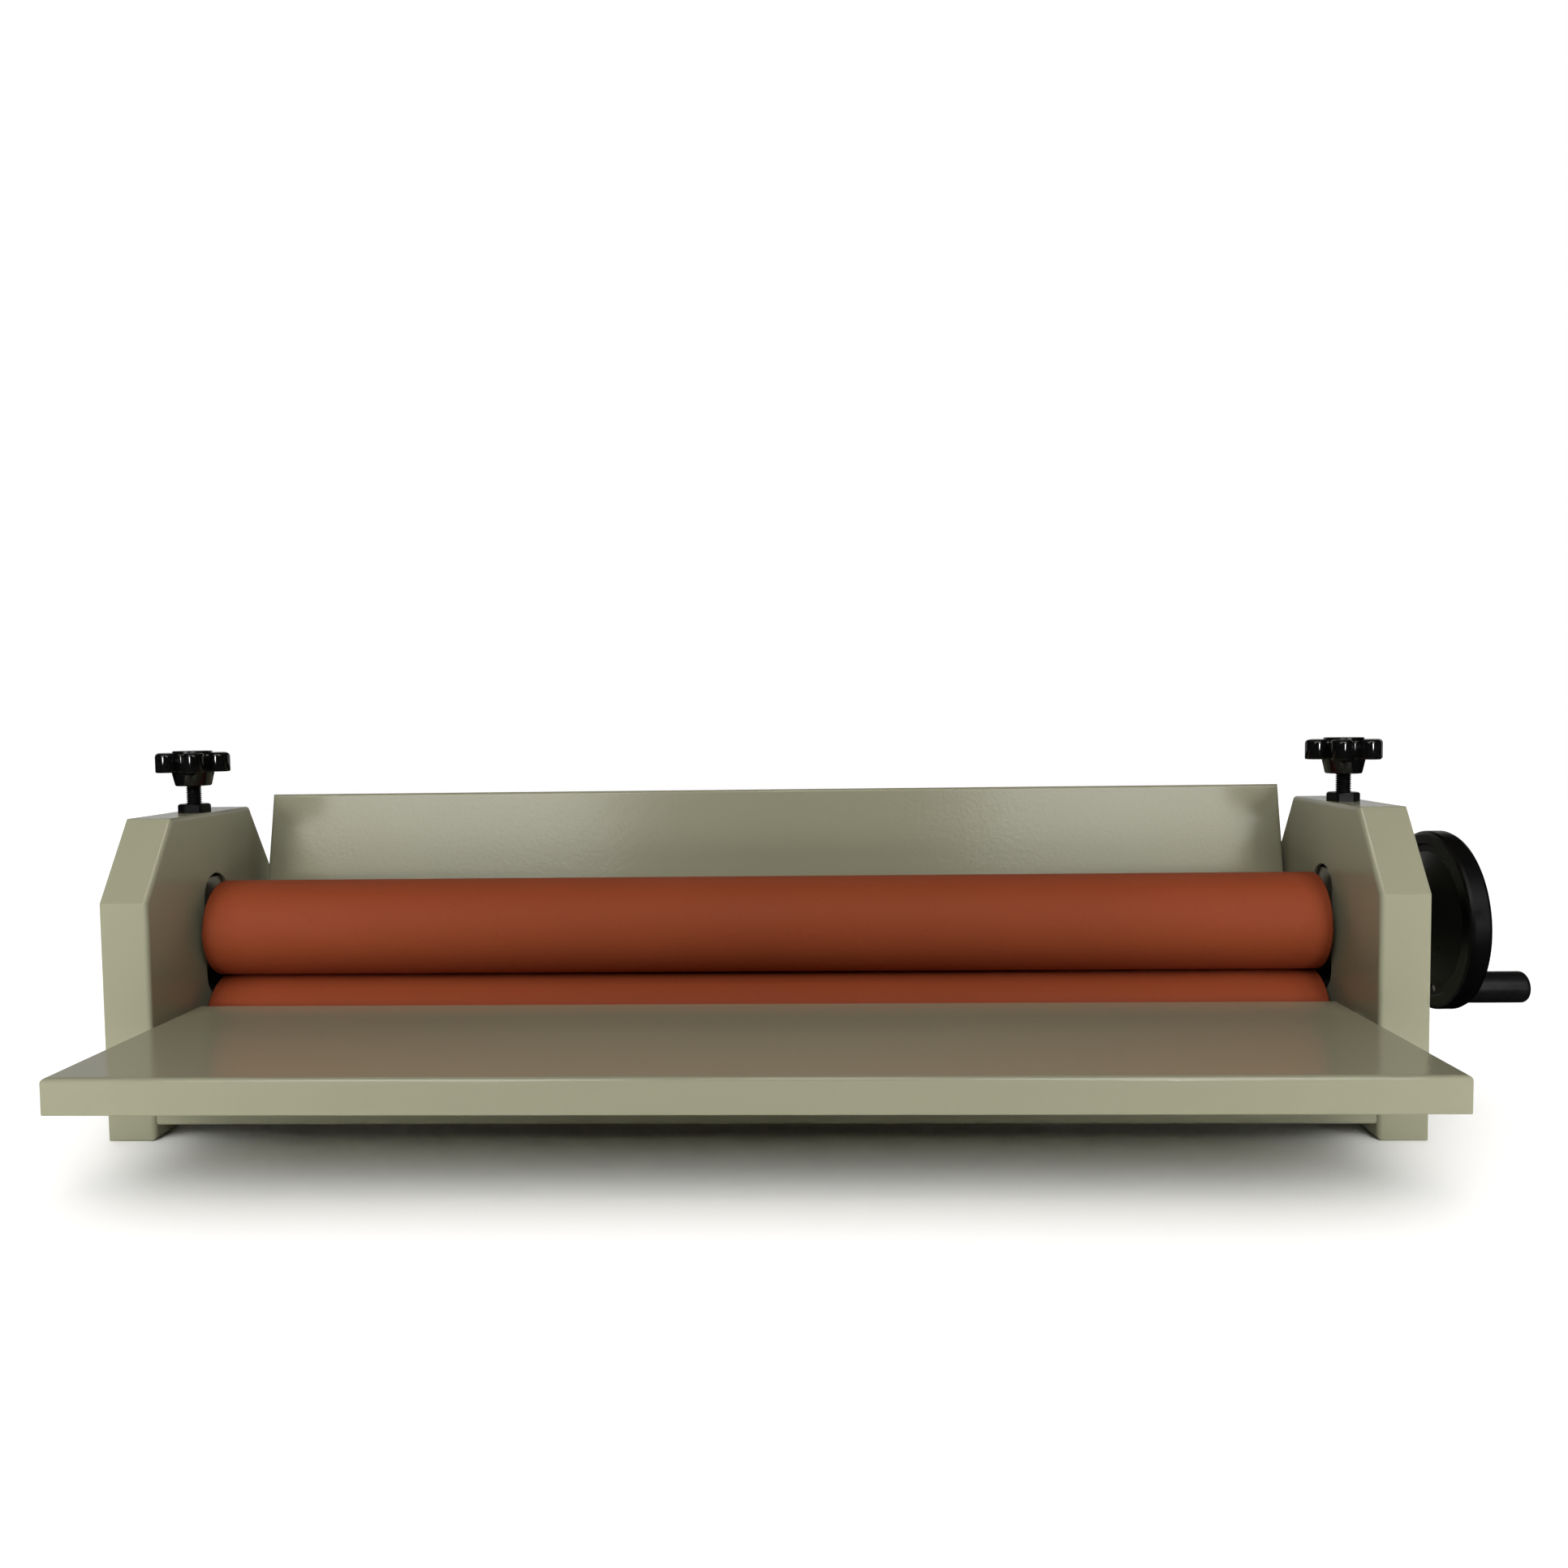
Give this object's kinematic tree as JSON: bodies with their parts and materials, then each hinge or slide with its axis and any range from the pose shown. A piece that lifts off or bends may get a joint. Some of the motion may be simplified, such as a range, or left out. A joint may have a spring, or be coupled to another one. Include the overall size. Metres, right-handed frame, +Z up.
{
  "type": "cold roll laminator",
  "caption": "Hand-cranked cold laminator: two rubber rollers between steel side housings, screw-set nip, and a folding feed table on each side.",
  "frame": {"origin": "on the floor, midway between the two housings and under the roller axes: the centre of the four bolt holes in the housings' feet", "axes": "+X along the rollers towards the handwheel, +Y through the machine towards the rear table, +Z up"},
  "size_m": [0.9338, 0.302, 0.246],
  "materials": {
    "body_paint": "semi-gloss enamel with a fine orange peel",
    "black_steel": "black oxide",
    "machined_steel": "turned and milled",
    "zinc_steel": "bright zinc plate",
    "bearing_steel": "ground and polished",
    "roller_rubber": "ground matte silicone rubber",
    "knob_plastic": "glossy moulded phenolic",
    "wheel_black": "satin black enamel",
    "grip_black": "satin moulded plastic",
    "nylon": "plain moulded",
    "pad_rubber": "plain moulded"
  },
  "bodies": {
    "machine": {"beam_bolts": "zinc_steel", "cover_screws": "body_paint", "front_beam": "body_paint", "front_pivot_bolts": "black_steel", "guide_frame_left": "machined_steel", "guide_frame_right": "machined_steel", "housing_left": "body_paint", "housing_right": "body_paint", "lower_bearing_block_left": "machined_steel", "lower_bearing_block_right": "machined_steel", "lower_bearing_outer_left": "bearing_steel", "lower_bearing_outer_right": "bearing_steel", "pivot_nuts": "zinc_steel", "pivot_spacers": "nylon", "rear_beam": "body_paint", "rear_pivot_bolts": "black_steel", "screw_bush_left": "black_steel", "screw_bush_right": "black_steel", "side_cover_left": "body_paint", "side_cover_right": "body_paint", "stop_pads": "pad_rubber"},
    "carriage": {"upper_bearing_block_left": "machined_steel", "upper_bearing_block_right": "machined_steel", "foot_retainer_left": "machined_steel", "foot_retainer_right": "machined_steel", "retainer_screws": "zinc_steel", "upper_bearing_outer_left": "bearing_steel", "upper_bearing_outer_right": "bearing_steel"},
    "upper_roller": {"upper_roller_rubber": "roller_rubber", "upper_roller_tube": "machined_steel", "upper_journal_left": "machined_steel", "upper_drive_journal": "machined_steel", "upper_bearing_inners": "bearing_steel", "upper_retaining_rings": "black_steel", "handwheel": "wheel_black", "wheel_set_screw": "black_steel", "wheel_end_screw": "black_steel", "wheel_washer": "machined_steel", "handle_spindle": "machined_steel"},
    "grip": {"handle_grip": "grip_black"},
    "lower_roller": {"lower_roller_rubber": "roller_rubber", "lower_roller_tube": "machined_steel", "lower_journal_left": "machined_steel", "lower_journal_right": "machined_steel", "lower_bearing_inners": "bearing_steel", "lower_retaining_rings": "black_steel"},
    "left_nip_screw": {"pressure_screw_left": "black_steel", "knob_left": "knob_plastic"},
    "right_nip_screw": {"pressure_screw_right": "black_steel", "knob_right": "knob_plastic"},
    "front_table": {"front_table": "body_paint"},
    "rear_table": {"rear_table": "body_paint"}
  },
  "joints": [
    {"name": "nip_gap", "type": "slide", "parent": "machine", "child": "carriage", "axis": [0, 0, 1], "range_m": [0, 0.023]},
    {"name": "upper_roller_spin", "type": "hinge", "parent": "carriage", "child": "upper_roller", "pos_m": [0, 0, 0.122], "axis": [1, 0, 0], "continuous": true},
    {"name": "handle_grip_spin", "type": "hinge", "parent": "upper_roller", "child": "grip", "pos_m": [0.4895, -0.00946, 0.07749], "axis": [1, 0, 0], "continuous": true},
    {"name": "lower_roller_spin", "type": "hinge", "parent": "machine", "child": "lower_roller", "pos_m": [0, 0, 0.0562], "axis": [1, 0, 0], "continuous": true},
    {"name": "left_screw_turn", "type": "hinge", "parent": "carriage", "child": "left_nip_screw", "pos_m": [-0.3953, 0, 0.2], "axis": [0, 0, 1], "range_deg": [0, 5521]},
    {"name": "right_screw_turn", "type": "hinge", "parent": "carriage", "child": "right_nip_screw", "pos_m": [0.3953, 0, 0.2], "axis": [0, 0, 1], "range_deg": [0, 5521]},
    {"name": "front_table_fold", "type": "hinge", "parent": "machine", "child": "front_table", "pos_m": [0, -0.056, 0.064], "axis": [-1, 0, 0], "range_deg": [0, 88]},
    {"name": "rear_table_fold", "type": "hinge", "parent": "machine", "child": "rear_table", "pos_m": [0, 0.056, 0.064], "axis": [1, 0, 0], "range_deg": [-77.1, 10.9]}
  ],
  "couplings": [
    {"joint": "left_screw_turn", "follows": "nip_gap", "rad_per_m": 4188.8},
    {"joint": "right_screw_turn", "follows": "nip_gap", "rad_per_m": 4188.8},
    {"joint": "lower_roller_spin", "follows": "upper_roller_spin", "ratio": -1}
  ]
}
